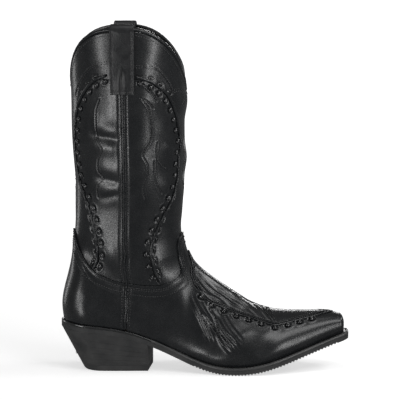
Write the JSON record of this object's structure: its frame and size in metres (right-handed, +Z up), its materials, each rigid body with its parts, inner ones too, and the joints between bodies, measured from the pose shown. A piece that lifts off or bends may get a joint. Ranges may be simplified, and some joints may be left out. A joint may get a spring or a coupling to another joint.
{
  "type": "western boot",
  "caption": "Tall western boot for a right foot, with a scalloped top line, pull straps, laced overlay arches, snip toe and underslung stacked heel.",
  "frame": {"origin": "on the floor, at the bottom centre of the whole boot's box", "axes": "+X towards the toe, +Y towards the inner side of the right foot, +Z up"},
  "size_m": [0.3044, 0.1206, 0.3657],
  "materials": {
    "upper_leather": "semi-gloss black leather",
    "lace_leather": "glossy black lace leather",
    "lining_leather": "smooth tan lining leather",
    "strap_leather": "semi-gloss black leather, stitched",
    "fibreboard": "pressed fibre",
    "steel": "spring steel",
    "cork": "ground cork",
    "sole_leather": "edge-inked matte black leather",
    "thread": "waxed thread",
    "sole_rubber": "matte black rubber"
  },
  "bodies": {
    "root": {"arch_cord_inner_back": "upper_leather", "arch_cord_inner_front": "upper_leather", "arch_cord_outer_back": "upper_leather", "arch_cord_outer_front": "upper_leather", "arch_lacing_inner": "lace_leather", "arch_lacing_outer": "lace_leather", "arch_overlay_inner_back": "upper_leather", "arch_overlay_inner_front": "upper_leather", "arch_overlay_outer_back": "upper_leather", "arch_overlay_outer_front": "upper_leather", "cork_filler": "cork", "counter_cover": "upper_leather", "counter_stiffener": "fibreboard", "heel_cap": "sole_rubber", "heel_lift_1": "sole_leather", "heel_lift_2": "sole_leather", "heel_lift_3": "sole_leather", "heel_lift_4": "sole_leather", "heel_lift_5": "sole_leather", "heel_nails": "steel", "heel_rand": "sole_leather", "insole": "fibreboard", "outsole": "sole_rubber", "plug_cord_inner": "upper_leather", "plug_cord_outer": "upper_leather", "pull_strap_inner": "strap_leather", "pull_strap_outer": "strap_leather", "shaft_back_lining": "lining_leather", "shaft_back_panel": "upper_leather", "shaft_front_lining": "lining_leather", "shaft_front_panel": "upper_leather", "shank": "steel", "side_piping_inner": "upper_leather", "side_piping_outer": "upper_leather", "sock_lining": "lining_leather", "toe_box": "fibreboard", "top_binding": "upper_leather", "vamp": "upper_leather", "vamp_lacing": "lace_leather", "vamp_lining": "lining_leather", "vamp_plug": "upper_leather", "welt": "sole_leather", "welt_stitching": "thread"}
  },
  "joints": []
}
